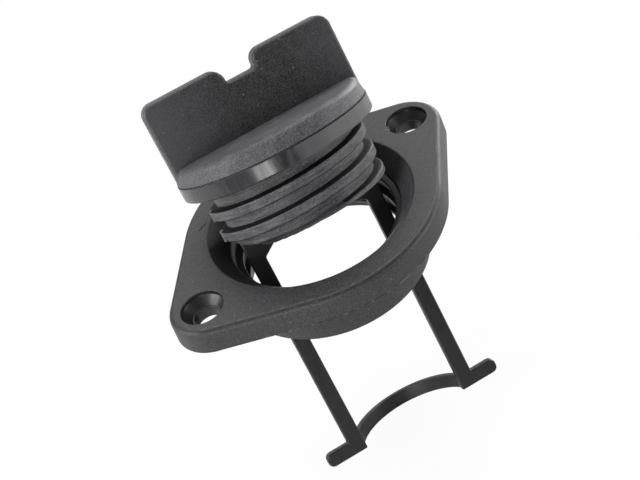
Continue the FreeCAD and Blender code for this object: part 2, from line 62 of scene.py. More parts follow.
CAD_BOX = [list(corner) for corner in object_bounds()]
MM = 0.001
# Sides of the largest round forms.
ROUND = 192
# Small roundings and chamfers of most edges.
SOFT = 0.3 * MM
# Name, place in metres, width, height and power in watts.
LAMPS = (
    ("lamp_top", (0.20, 0.28, 0.62), 0.50, 0.50, 3.0),
    ("lamp_left", (-0.54, 0.22, 0.30), 0.45, 0.35, 3.8),
    ("lamp_right", (0.57, 0.16, 0.08), 0.30, 0.15, 2.8),
    ("lamp_low", (-0.455, -0.385, 0.125), 0.19, 0.20, 1.2),
    ("lamp_front", (0.42, -0.42, 0.14), 0.25, 0.20, 1.4),
)
# Refraction of nylon.
NYLON_IOR = 1.53


# Colours

def srgb(text):
    """A hex colour as Blender's linear values."""
    values = [int(text[start:start + 2], 16) / 255 for start in (0, 2, 4)]
    return tuple(v / 12.92 if v <= 0.04045 else ((v + 0.055) / 1.055) ** 2.4 for v in values)


SCUFF_TONE = srgb("77777B")
DUST_TONE = srgb("A8A8AC")


def length(name, description, default_mm):
    return FloatProperty(name=name, description=description, default=default_mm * MM,
                         subtype="DISTANCE", unit="LENGTH", precision=5)


def angle(name, description, default_degrees):
    return FloatProperty(name=name, description=description, default=math.radians(default_degrees),
                         subtype="ANGLE", unit="ROTATION")


def colour(name, description, default_hex):
    return FloatVectorProperty(name=name, description=description, default=srgb(default_hex),
                               subtype="COLOR", size=3, min=0, max=1)


# Sizes and colours that a user would change

class SocketSizes(bpy.types.PropertyGroup):
    thickness: length("Flange thickness", "From the back face to the top face", 5.2)
    radius: length("Flange radius", "Round middle of the flange", 26.9)
    lobe_radius: length("Lobe radius", "Rounded end round each screw hole", 8.45)
    half_length: length("Half length", "From the bore's axis to a lobe's tip", 36.2)
    draft: length("Side draft", "How much narrower the top face is than the back face", 0.3)
    edge: length("Top edge rounding", "Rounding of the flange's top edge", 1.1)
    hole_spacing: length("Screw spacing", "Between the two screw holes", 58.9)
    hole_radius: length("Screw hole radius", "Straight part of a screw hole", 2.5)
    sink_radius: length("Countersink radius", "Rim of the countersink", 4.3)
    seat_radius: length("Seat radius", "Mouth of the conical seat", 21.0)
    seat_depth: length("Seat depth", "From the top face to the foot of the seat", 3.5)
    bore_radius: length("Bore radius", "Bore between the thread ridges", 17.65)
    collar_radius: length("Collar radius", "Outside of the collar behind the flange", 20.5)
    collar_length: length("Collar length", "From the back face to the collar's end", 10.5)
    bore_end: length("Bore end radius", "Bore at the collar's end", 17.25)
    ridge_crest: length("Thread crest radius", "Inner edge of the thread ridge", 16.3)
    ridge_depth: length("Thread depth", "From the top face down to the ridge's lower end", 14.0)
    ridge_root_width: length("Thread root width", "Ridge where it leaves the bore", 1.6)
    ridge_crest_width: length("Thread crest width", "Ridge at its inner edge", 0.9)


class PlugSizes(bpy.types.PropertyGroup):
    core: length("Shank radius", "Shank between the thread ridges", 15.4)
    crest: length("Thread crest radius", "Outer edge of the thread ridge", 17.15)
    ridge_depth: length("Thread depth", "From the seal's lower face down to the ridge's lower end", 13.5)
    ridge_root_width: length("Thread root width", "Ridge where it leaves the shank", 2.7)
    ridge_crest_width: length("Thread crest width", "Ridge at its outer edge", 2.0)
    shank: length("Shank length", "From the seal's lower face to the shank's end", 12.0)
    hollow_radius: length("Hollow radius", "Inside of the shank's wall", 12.8)
    hollow_depth: length("Hollow depth", "From the shank's end to the hollow's top", 10.0)
    boss_radius: length("Boss radius", "Middle of the hollow shank, round the stud", 5.4)
    stud_bore: length("Stud bore radius", "Where the stud goes in", 2.65)
    stud_room: length("Stud head room radius", "Wider part of the bore, round the stud's head", 3.4)
    stud_ledge: length("Stud ledge depth", "From the seal's lower face to the ledge that holds the stud", 8.6)
    stud_ceiling: length("Stud ceiling depth", "From the seal's lower face to the bore's top", 6.1)
    pitch: length("Thread pitch", "Rise of the ridge in one turn", 4.45)
    cap_radius: length("Cap radius", "Lower edge of the cap", 20.2)
    cap_top: length("Cap height", "From the seal's lower face to the cap's top", 6.6)
    handle_length: length("Handle length", "Along the wing", 40.0)
    handle_top: length("Handle height", "From the seal's lower face to the handle's top", 19.9)
    handle_thickness: length("Handle thickness", "Across the wing", 5.0)
    handle_corner: length("Handle corner rounding", "Rounding of the handle's top corners", 2.4)
    handle_edge: length("Handle edge rounding", "Rounding of the edges of the handle's wide sides", 0.7)
    notch_width: length("Notch width", "Gap in the handle's top edge", 6.2)
    notch_left: length("Notch left", "From the axis to the gap's left side", 2.9)
    notch_depth: length("Notch depth", "Depth of the gap", 3.3)
    seal_radius: length("Seal radius", "Outside of the seal ring", 20.3)
    seal_height: length("Seal height", "Thickness of the seal ring", 3.3)


class RetainerSizes(bpy.types.PropertyGroup):
    leg_inner: length("Leg inner face", "From the axis to the inner edge of a leg", 11.6)
    leg_width: length("Leg width", "Wide side of a leg", 3.3)
    leg_thickness: length("Leg thickness", "Thin side of a leg", 1.8)
    leg_offset: length("Leg offset", "From the axis plane to the near face of the legs", 0.5)
    top: length("Bridge depth", "From the seal's lower face down to the bridge's top", 12.3)
    bridge: length("Bridge thickness", "Height of the bar between the legs", 1.4)
    hub_radius: length("Hub radius", "Round middle of the bridge", 5.0)
    stud_radius: length("Stud radius", "Stem of the stud", 2.6)
    stud_head: length("Stud head radius", "Head that snaps into the plug", 3.1)
    stud_stem: length("Stud stem height", "From the bridge's top to the head", 4.0)
    stud_top: length("Stud height", "From the bridge's top to the end of the head", 5.6)
    bottom: length("Foot depth", "From the seal's lower face down to the feet's underside", 62.9)
    foot_height: length("Foot height", "Height of a foot", 2.95)
    foot_reach: length("Foot reach", "From the axis to a foot's tip", 20.3)
    bow_radius: length("Bow radius", "Inside of the curved bow", 12.6)
    bow_wall: length("Bow wall", "Thickness of the bow", 1.3)
    bow_offset: length("Bow offset", "From the axis to the bow's centre, away from the legs", 2.1)
    haunch_height: length("Haunch height", "Drop of the sloped web in a bridge corner", 3.5)
    haunch_reach: length("Haunch reach", "Run of the sloped web along the bridge", 5.3)


class RestPose(bpy.types.PropertyGroup):
    x: length("Plug X", "Middle of the seal's lower face", 1.775)
    y: length("Plug Y", "Middle of the seal's lower face", 5.214)
    z: length("Plug Z", "Middle of the seal's lower face", 16.671)
    turn: angle("Turn", "Handle's direction about the bore", -19.57)
    roll: angle("Roll", "Small roll of the handle", 0.476)
    tilt: angle("Tilt", "Lean of the plug about its handle", -24.70)


class Finishes(bpy.types.PropertyGroup):
    body: colour("Socket plastic", "Matt moulded nylon of the socket", "18181A")
    body_light: colour("Socket plastic, light", "Paler tone of its fine grain", "343436")
    rubbed: colour("Cap and shank plastic", "Nylon rubbed by use", "2A2A2C")
    # Its pale tone also paints light on the wing's ends and on the ridges' right ends.
    rubbed_light: colour("Cap and shank plastic, light", "Paler tone of its fine grain", "4C4C4F")
    wing: colour("Wing plastic", "Darker nylon of the handle", "161617")
    wing_light: colour("Wing plastic, light", "Paler tone of its fine grain", "353537")
    polished: colour("Bore plastic", "Smooth faces left by the mould's polished core", "19191B")
    rubber: colour("Seal rubber", "Nitrile rubber of the seal ring", "222224")
    bloom: colour("Seal bloom", "Dull bloom on one side of the seal ring", "474749")
    strap: colour("Retainer plastic", "Flexible plastic of the retainer", "121214")
    # Its pale tone also paints light on the front of the seat.
    fleck: colour("Flecks", "Pale flecks of dust and moulding flash", "8A8A8E")
    # Its dark tone also paints shade on the seat behind the plug, on the thread's flanks and in the seal's
    # crease.
    grime: colour("Grime", "Dark marks along edges and in corners", "0A0A0A")
    floor: colour("Floor", "Plain pale floor", "D6D6D6")


# Hand tools in edit mode

def deselect():
    if bpy.context.object and bpy.context.object.mode != "OBJECT":
        bpy.ops.object.mode_set(mode="OBJECT")
    bpy.ops.object.select_all(action="DESELECT")


def take(obj):
    deselect()
    obj.select_set(True)
    bpy.context.view_layer.objects.active = obj


def edit(obj, kind="EDGE"):
    take(obj)
    bpy.ops.object.mode_set(mode="EDIT")
    bpy.ops.mesh.select_mode(type=kind)
    bpy.ops.mesh.select_all(action="DESELECT")


def leave():
    bpy.ops.object.mode_set(mode="OBJECT")


def settle():
    """Turns a piece's placement into the places of its vertices."""
    bpy.ops.object.transform_apply(location=True, rotation=True, scale=True)


def pick_all():
    bpy.ops.mesh.select_all(action="SELECT")


def close_ends():
    """Fills a mesh's open ends and selects all of it."""
    bpy.ops.mesh.select_non_manifold()
    bpy.ops.mesh.fill_holes(sides=0)
    pick_all()


def pick(obj, kind, test):
    """Selects the vertices, edges or faces of a mesh in edit mode whose middle passes the test."""
    bpy.ops.mesh.select_mode(type=kind)
    bpy.ops.mesh.select_all(action="DESELECT")
    mesh = bmesh.from_edit_mesh(obj.data)
    items = {"VERT": mesh.verts, "EDGE": mesh.edges, "FACE": mesh.faces}[kind]
    count = 0
    for item in items:
        if kind == "VERT":
            middle = item.co
        elif kind == "EDGE":
            middle = (item.verts[0].co + item.verts[1].co) / 2
        else:
            middle = item.calc_center_median()
        if test(middle, item):
            item.select_set(True)
            count += 1
    mesh.select_flush_mode()
    bmesh.update_edit_mesh(obj.data)
    if not count:
        raise RuntimeError("nothing to select on " + obj.name)


def near(value, target, margin=0.04 * MM):
    return abs(value - target) < margin


def bevel(size, segments):
    bpy.ops.mesh.bevel(offset=size, offset_type="OFFSET", segments=segments, affect="EDGES",
                       clamp_overlap=False)


def apply_modifier(obj, kind, **settings):
    take(obj)
    modifier = obj.modifiers.new(kind.title(), kind)
    for key, value in settings.items():
        setattr(modifier, key, value)
    bpy.ops.object.modifier_apply(modifier=modifier.name)


def cut(obj, tool, operation="DIFFERENCE"):
    """Cuts a tool out of a piece, or welds it on, and removes the tool."""
    apply_modifier(obj, "BOOLEAN", object=tool, operation=operation, solver="EXACT")
    bpy.data.objects.remove(tool)


def join(obj, *others):
    take(obj)
    for other in others:
        other.select_set(True)
    bpy.ops.object.join()
    return obj


def name_it(name):
    obj = bpy.context.object
    obj.name = name
    obj.data.name = name
    return obj


def block(name, low, high):
    """A box between two corners, as the start of a piece."""
    deselect()
    centre = [(a + b) / 2 for a, b in zip(low, high)]
    bpy.ops.mesh.primitive_cube_add(size=1, location=centre)
    bpy.ops.transform.resize(value=[b - a for a, b in zip(low, high)])
    settle()
    return name_it(name)


def turned(name, rings, steps=ROUND, centre=(0, 0), closed=False):
    """A turned form: a circle extruded and scaled from ring to ring, given as (radius, height)."""
    deselect()
    radius, height = rings[0]
    bpy.ops.mesh.primitive_circle_add(vertices=steps, radius=radius, location=(centre[0], centre[1], height))
    settle()
    obj = name_it(name)
    edit(obj)
    pick_all()
    for new_radius, new_height in rings[1:]:
        bpy.ops.mesh.extrude_region_move(TRANSFORM_OT_translate={"value": (0, 0, new_height - height)})
        scale = new_radius / radius
        bpy.ops.transform.resize(value=(scale, scale, 1), center_override=(centre[0], centre[1], new_height))
        radius, height = new_radius, new_height
    if closed:
        pick_all()
        bpy.ops.mesh.remove_doubles(threshold=0.000001)
    else:
        close_ends()
    bpy.ops.mesh.normals_make_consistent(inside=False)
    leave()
    return obj


def bend(centre_radius, centre_height, radius, begin, finish, steps=5):
    """Rings along a rounded edge, with the angles in degrees from outward."""
    rings = []
    for step in range(steps + 1):
        turn = math.radians(begin + (finish - begin) * step / steps)
        rings.append((centre_radius + radius * math.cos(turn), centre_height + radius * math.sin(turn)))
    return rings


def wound_ridge(name, root, crest, height, root_width, crest_width, begin, turns, pitch):
    """A thread ridge: a tapered plate with a rounded crest, wound up the Z axis by a Screw modifier."""
    deselect()
    low, high = min(root, crest), max(root, crest)
    middle = ((low + high) / 2, 0, height)
    bpy.ops.mesh.primitive_plane_add(size=1, rotation=(math.pi / 2, 0, 0), location=middle)
    settle()
    obj = name_it(name)
    edit(obj, "VERT")
    pick_all()
    bpy.ops.transform.resize(value=(high - low, 1, root_width), center_override=middle)
    pick(obj, "VERT", lambda spot, item: near(spot.x, crest))
    bpy.ops.transform.resize(value=(1, 1, crest_width / root_width), center_override=middle)
    bpy.ops.mesh.bevel(offset=SOFT, segments=5, affect="VERTICES")
    leave()
    apply_modifier(obj, "SCREW", axis="Z", angle=2 * math.pi * turns, screw_offset=pitch * turns,
                   steps=int(110 * turns), render_steps=int(110 * turns), use_smooth_shade=True,
                   use_merge_vertices=False)
    edit(obj)
    close_ends()
    bpy.ops.mesh.normals_make_consistent(inside=False)
    bpy.ops.transform.rotate(value=-begin, orient_axis="Z", center_override=(0, 0, 0))
    leave()
    return obj


def finish_piece(obj, degrees=32):
    """Merges doubles, shades smooth and weights the normals by face size."""
    edit(obj, "VERT")
    pick_all()
    bpy.ops.mesh.remove_doubles(threshold=0.000002)
    leave()
    bpy.ops.object.shade_smooth_by_angle(angle=math.radians(degrees))
    apply_modifier(obj, "WEIGHTED_NORMAL", keep_sharp=True, weight=60)


def rest_turn():
    """The plug's turn at rest, which lays its X along the wing and its Z up its axis."""
    pose = bpy.context.scene.drain_plug_pose
    return Euler((pose.tilt, pose.roll, pose.turn), "XYZ")


def lean(obj):
    """Moves a piece from the plug's own upright frame to the plug's place in the socket."""
    pose = bpy.context.scene.drain_plug_pose
    obj.matrix_world = Matrix.Translation((pose.x, pose.y, pose.z)) @ rest_turn().to_matrix().to_4x4()
    take(obj)
    settle()


# Materials

def add_node(tree, kind, settings=None, inputs=None):
    """Adds one node; an input may be a value or another node's socket."""
    node = tree.nodes.new(kind)
    for key, value in (settings or {}).items():
        setattr(node, key, value)
    for key, value in (inputs or {}).items():
        if isinstance(value, bpy.types.NodeSocket):
            tree.links.new(value, node.inputs[key])
        else:
            node.inputs[key].default_value = value
    return node


def new_material(name):
    material = bpy.data.materials.new(name)
    material.use_nodes = True
    material.node_tree.nodes.clear()
    return material, material.node_tree


def per_mm(size_mm):
    """A texture's scale for a feature of this size."""
    return 1 / (size_mm * MM)


def four(rgb):
    return (rgb[0], rgb[1], rgb[2], 1)


def surface(tree, tone, rough, height, ior, strength, depth_mm):
    """Ends a material with a fine bump, the shader and the output, and gives back the shader."""
    bump = add_node(tree, "ShaderNodeBump", None,
                    {"Height": height, "Strength": strength, "Distance": depth_mm * MM})
    shader = add_node(tree, "ShaderNodeBsdfPrincipled", None,
                      {"Base Color": tone, "Roughness": rough, "IOR": ior, "Normal": bump.outputs[0]})
    add_node(tree, "ShaderNodeOutputMaterial", None, {"Surface": shader.outputs[0]})
    return shader


def coat(tree, shader, mask, low, high, most, tone):
    """Lays a tone over a shader's colour: none where the mask is low, and the most where it is high."""
    plain = shader.inputs["Base Color"].links[0].from_socket
    amount = add_node(tree, "ShaderNodeMapRange", None,
                      {"Value": mask, "From Min": low, "From Max": high, "To Min": 0.0, "To Max": most})
    over = add_node(tree, "ShaderNodeMix", {"data_type": "RGBA"},
                    {"Factor": amount.outputs[0], "A": plain, "B": four(tone)})
    tree.links.new(over.outputs["Result"], shader.inputs["Base Color"])


def seen_from_plug(tree, place):
    """The parts of a place as the plug at rest sees it: X along the wing, Z up from the seal's lower face."""
    pose = bpy.context.scene.drain_plug_pose
    own = add_node(tree, "ShaderNodeMapping", {"vector_type": "TEXTURE"},
                   {"Vector": place, "Location": (pose.x, pose.y, pose.z), "Rotation": rest_turn()})
    return add_node(tree, "ShaderNodeSeparateXYZ", None, {"Vector": own.outputs[0]}).outputs


def matt_nylon(name, dark, light, roughness, dust, scuffs):
    """Matt grained nylon: a fine two-tone grain, pale dust and soft paler scuffs over it."""
    material, tree = new_material(name)
    place = add_node(tree, "ShaderNodeTexCoord").outputs["Object"]
    # The real grain is about 0.1 mm; it is drawn at 0.3 mm so that it shows.
    grain = add_node(tree, "ShaderNodeTexNoise", None,
                     {"Vector": place, "Scale": per_mm(0.3), "Detail": 1.0, "Roughness": 0.5}).outputs["Fac"]
    spread = add_node(tree, "ShaderNodeMapRange", None, {"Value": grain, "From Min": 0.40, "From Max": 0.61})
    base = add_node(tree, "ShaderNodeMix", {"data_type": "RGBA"},
                    {"Factor": spread.outputs[0], "A": four(dark), "B": four(light)})
    rough = add_node(tree, "ShaderNodeMapRange", None,
                     {"Value": grain, "From Min": 0.3, "From Max": 0.7,
                      "To Min": roughness - 0.06, "To Max": roughness + 0.06})
    shader = surface(tree, base.outputs["Result"], rough.outputs[0], grain, NYLON_IOR, 0.25, 0.04)
    cloud = add_node(tree, "ShaderNodeTexNoise", None,
                     {"Vector": place, "Scale": per_mm(3.0), "Detail": 3.0})
    coat(tree, shader, cloud.outputs["Fac"], 0.45, 0.75, scuffs, SCUFF_TONE)
    grit = add_node(tree, "ShaderNodeTexVoronoi", {"feature": "F1"},
                    {"Vector": place, "Scale": per_mm(1.7), "Randomness": 1.0})
    coat(tree, shader, grit.outputs["Distance"], 0.10, 0.03, dust, DUST_TONE)
    return material, tree, place, shader


def nylon_moulded_spark_eroded(looks):
    """Glass-filled nylon from a spark-eroded mould: an even dark grey grain on the socket. The mould's
    parting line shows along the flange's lower edge, dark and broken, with a few pale flecks. A darker line
    runs round the top edge. The seat has painted shadow, nearly black behind where the plug shades it, and
    painted light that makes it paler ahead."""
    material, tree, place, shader = matt_nylon("nylon_moulded_spark_eroded", looks.body, looks.body_light,
                                               0.54, 0.25, 0.0)
    spot = add_node(tree, "ShaderNodeSeparateXYZ", None, {"Vector": place})
    broken = add_node(tree, "ShaderNodeTexNoise", None,
                      {"Vector": place, "Scale": per_mm(1.3), "Detail": 1.0}).outputs["Fac"]
    flat = add_node(tree, "ShaderNodeVectorMath", {"operation": "MULTIPLY"}, {0: place, 1: (1, 1, 0)})
    reach = add_node(tree, "ShaderNodeVectorMath", {"operation": "LENGTH"}, {0: flat.outputs[0]})
    outside = add_node(tree, "ShaderNodeMath", {"operation": "GREATER_THAN"},
                       {0: reach.outputs["Value"], 1: 21.4 * MM}).outputs[0]
    within = add_node(tree, "ShaderNodeMath", {"operation": "LESS_THAN"},
                      {0: reach.outputs["Value"], 1: 21.15 * MM}).outputs[0]
    # The seat's far side, where the plug's shadow falls, gets painted shadow; its near side gets painted
    # light.
    back = add_node(tree, "ShaderNodeMath", {"operation": "MULTIPLY_ADD"},
                    {0: spot.outputs["X"], 1: 0.1, 2: spot.outputs["Y"]})
    behind = add_node(tree, "ShaderNodeMapRange", None,
                      {"Value": back.outputs[0], "From Min": -9.5 * MM, "From Max": -5.5 * MM}).outputs[0]
    seat = add_node(tree, "ShaderNodeMath", {"operation": "MULTIPLY"}, {0: within, 1: behind}).outputs[0]
    ahead = add_node(tree, "ShaderNodeMath", {"operation": "SUBTRACT"}, {0: within, 1: seat}).outputs[0]
    # Each band: middle and half height in mm, noise where it begins and is full, strength, tone and mask.
    for middle, half, low, high, strength, tone, where in (
            (0.21, 0.16, 0.56, 0.61, 0.25, looks.fleck, outside),
            (0.32, 0.24, 0.52, 0.47, 0.95, looks.grime, outside),
            (4.97, 0.15, 0.25, 0.50, 0.90, looks.grime, outside),
            (5.17, 0.02, 0.50, 0.65, 0.12, looks.fleck, outside),
            # These two rows are painted light: a painted shadow on the seat behind, and painted light on the
            # seat ahead.
            (3.40, 1.80, 0.10, 0.40, 0.93, looks.grime, seat),
            (3.40, 1.80, 0.00, 0.80, 0.35, looks.fleck, ahead)):
        level = add_node(tree, "ShaderNodeMath", {"operation": "COMPARE"},
                         {0: spot.outputs["Z"], 1: middle * MM, 2: half * MM})
        band = add_node(tree, "ShaderNodeMath", {"operation": "MULTIPLY"}, {0: level.outputs[0], 1: where})
        most = add_node(tree, "ShaderNodeMath", {"operation": "MULTIPLY"}, {0: band.outputs[0], 1: strength})
        coat(tree, shader, broken, low, high, most.outputs[0], tone)
    return material


def nylon_moulded_rubbed(looks):
    """The same nylon on the cap and the shank, rubbed by hands and by the thread: paler, scuffed, and with
    fine dark rub lines along the ridges."""
    material, tree, place, shader = matt_nylon("nylon_moulded_rubbed", looks.rubbed, looks.rubbed_light,
                                               0.58, 0.35, 0.20)
    lay = add_node(tree, "ShaderNodeMapping", {"vector_type": "TEXTURE"},
                   {"Vector": place, "Rotation": rest_turn(), "Scale": (12, 12, 1)})
    marks = add_node(tree, "ShaderNodeTexNoise", None,
                     {"Vector": lay.outputs[0], "Scale": per_mm(0.35), "Detail": 1.0}).outputs["Fac"]
    shank = add_node(tree, "ShaderNodeMath", {"operation": "LESS_THAN"},
                     {0: seen_from_plug(tree, place)["Z"], 1: 3.2 * MM}).outputs[0]
    for low, high, strength, tone in ((0.47, 0.37, 0.50, looks.grime), (0.56, 0.68, 0.15, looks.fleck)):
        most = add_node(tree, "ShaderNodeMath", {"operation": "MULTIPLY"}, {0: shank, 1: strength})
        coat(tree, shader, marks, low, high, most.outputs[0], tone)
    return material


def nylon_moulded_blasted(looks):
    """The same nylon on the wing, from a blasted part of the mould: darker and dusty, with painted light that
    makes it paler towards its ends.
    """
    material, tree, place, shader = matt_nylon("nylon_moulded_blasted", looks.wing, looks.wing_light,
                                               0.50, 0.4, 0.05)
    shader.inputs["Specular IOR Level"].default_value = 0.4
    # Painted light: the wing is coloured paler towards its ends.
    off = add_node(tree, "ShaderNodeMath", {"operation": "SUBTRACT"},
                   {0: seen_from_plug(tree, place)["X"], 1: 3.2 * MM})
    far = add_node(tree, "ShaderNodeMath", {"operation": "ABSOLUTE"}, {0: off.outputs[0]})
    coat(tree, shader, far.outputs[0], 6 * MM, 23 * MM, 0.60, looks.rubbed_light)
    return material


def nylon_moulded_grime_and_painted_shade(looks):
    """The same nylon on the flanks of the thread, nearly black as painted shade in the thread's corners, with
    painted light as a paler rim on the ridges' right ends. It also colours the top of the dark nick in the
    socket."""
    material, tree, place, shader = matt_nylon("nylon_moulded_grime_and_painted_shade", looks.grime, looks.wing, 0.70, 0.1, 0.0)
    shader.inputs["Specular IOR Level"].default_value = 0.15
    spot = seen_from_plug(tree, place)
    flat = add_node(tree, "ShaderNodeCombineXYZ", None, {"X": spot["X"], "Y": spot["Y"]})
    reach = add_node(tree, "ShaderNodeVectorMath", {"operation": "LENGTH"}, {0: flat.outputs[0]})
    # Painted light: a paler rim on the ridges' right ends, on the side the lamps light.
    right = add_node(tree, "ShaderNodeMapRange", None,
                     {"Value": spot["X"], "From Min": 10.2 * MM, "From Max": 15.2 * MM, "To Max": 0.8})
    coat(tree, shader, reach.outputs["Value"], 16.3 * MM, 16.9 * MM, right.outputs[0], looks.rubbed_light)
    return material


def nylon_moulded_flash(looks):
    """Thin torn flash of the same nylon, stressed pale."""
    return matt_nylon("nylon_moulded_flash", looks.rubbed_light, looks.fleck, 0.60, 0.2, 0.4)[0]


def smooth_plastic(name, light, dark, squash, line_mm, roughest, ior, depth_mm):
    """Smooth moulded plastic with faint lines along Z."""
    material, tree = new_material(name)
    place = add_node(tree, "ShaderNodeTexCoord").outputs["Object"]
    stretch = add_node(tree, "ShaderNodeMapping", None, {"Vector": place, "Scale": (1, 1, squash)})
    lines = add_node(tree, "ShaderNodeTexNoise", None,
                     {"Vector": stretch.outputs[0], "Scale": per_mm(line_mm), "Detail": 2.0}).outputs["Fac"]
    rough = add_node(tree, "ShaderNodeMapRange", None,
                     {"Value": lines, "From Min": 0.3, "From Max": 0.7, "To Min": 0.34, "To Max": roughest})
    tone = add_node(tree, "ShaderNodeMix", {"data_type": "RGBA"},
                    {"Factor": lines, "A": four(light), "B": four(dark)})
    surface(tree, tone.outputs["Result"], rough.outputs[0], lines, ior, 0.15, depth_mm)
    return material


def nylon_moulded_polished_core(looks):
    """The same nylon where the mould's core was polished: darker and glossier, with faint draw lines."""
    return smooth_plastic("nylon_moulded_polished_core", looks.polished, looks.body, 0.12, 0.8, 0.46,
                          NYLON_IOR, 0.05)


def polythene_moulded_satin(looks):
    """Flexible polythene of the retainer, moulded: smooth satin, with flow lines along the legs."""
    return smooth_plastic("polythene_moulded_satin", looks.polished, looks.strap, 0.15, 1.2, 0.48, 1.51, 0.08)


def nitrile_rubber_press_moulded(looks):
    """Nitrile rubber, press-moulded: glossy with streaked highlights, dull where bloom has come out, and
    with painted shade that makes it dark and rough in the crease under the cap."""
    material, tree = new_material("nitrile_rubber_press_moulded")
    place = add_node(tree, "ShaderNodeTexCoord").outputs["Object"]
    stretch = add_node(tree, "ShaderNodeMapping", {"vector_type": "TEXTURE"},
                       {"Vector": place, "Rotation": rest_turn(), "Scale": (1, 1, 5)})
    smear = add_node(tree, "ShaderNodeTexNoise", None,
                     {"Vector": stretch.outputs[0], "Scale": per_mm(1.6), "Detail": 2.0,
                      "Distortion": 0.3}).outputs["Fac"]
    spot = seen_from_plug(tree, place)
    edge = add_node(tree, "ShaderNodeMath", {"operation": "MULTIPLY_ADD"},
                    {0: smear, 1: 5 * MM, 2: spot["X"]})
    bloom = add_node(tree, "ShaderNodeMapRange", {"interpolation_type": "SMOOTHSTEP"},
                     {"Value": edge.outputs[0], "From Min": -0.3 * MM, "From Max": 5.2 * MM})
    clean = add_node(tree, "ShaderNodeMix", {"data_type": "RGBA"},
                     {"Factor": bloom.outputs[0], "A": four(looks.rubber), "B": four(looks.bloom)})
    # Painted shade: the top of the ring, in the crease under the cap, is coloured nearly black.
    crease = add_node(tree, "ShaderNodeMath", {"operation": "GREATER_THAN"},
                      {0: spot["Z"], 1: 3.05 * MM}).outputs[0]
    gloss = add_node(tree, "ShaderNodeMapRange", None,
                     {"Value": smear, "From Min": 0.3, "From Max": 0.7, "To Min": 0.18, "To Max": 0.36})
    dull = add_node(tree, "ShaderNodeMath", {"operation": "MULTIPLY_ADD"},
                    {0: bloom.outputs[0], 1: 0.28, 2: gloss.outputs[0]})
    rough = add_node(tree, "ShaderNodeMath", {"operation": "MULTIPLY_ADD"},
                     {0: crease, 1: 0.4, 2: dull.outputs[0]})
    shader = surface(tree, clean.outputs["Result"], rough.outputs[0], smear, 1.52, 0.2, 0.15)
    coat(tree, shader, crease, 0.0, 1.0, 1.0, looks.grime)
    return material


def paper_board_matt(looks):
    """Plain matt board that looks white to the camera and keeps a soft shadow."""
    material, tree = new_material("paper_board_matt")
    matt = add_node(tree, "ShaderNodeBsdfDiffuse", None, {"Color": four(looks.floor)})
    lit = add_node(tree, "ShaderNodeEmission", None, {"Color": (1, 1, 1, 1), "Strength": 1.0})
    path = add_node(tree, "ShaderNodeLightPath")
    share = add_node(tree, "ShaderNodeMath", {"operation": "MULTIPLY"},
                     {0: path.outputs["Is Camera Ray"], 1: 0.94})
    both = add_node(tree, "ShaderNodeMixShader", None,
                    {0: share.outputs[0], 1: matt.outputs[0], 2: lit.outputs[0]})
    add_node(tree, "ShaderNodeOutputMaterial", None, {"Surface": both.outputs[0]})
    return material


def give_slots(obj, looks, makers, choose=None):
    """Gives a piece its materials, each named like its maker, and each face one by its middle and normal."""
    obj.data.materials.clear()
    for maker in makers:
        obj.data.materials.append(bpy.data.materials.get(maker.__name__) or maker(looks))
    for face in obj.data.polygons:
        face.material_index = choose(face.center, face.normal) if choose else 0


# Pieces

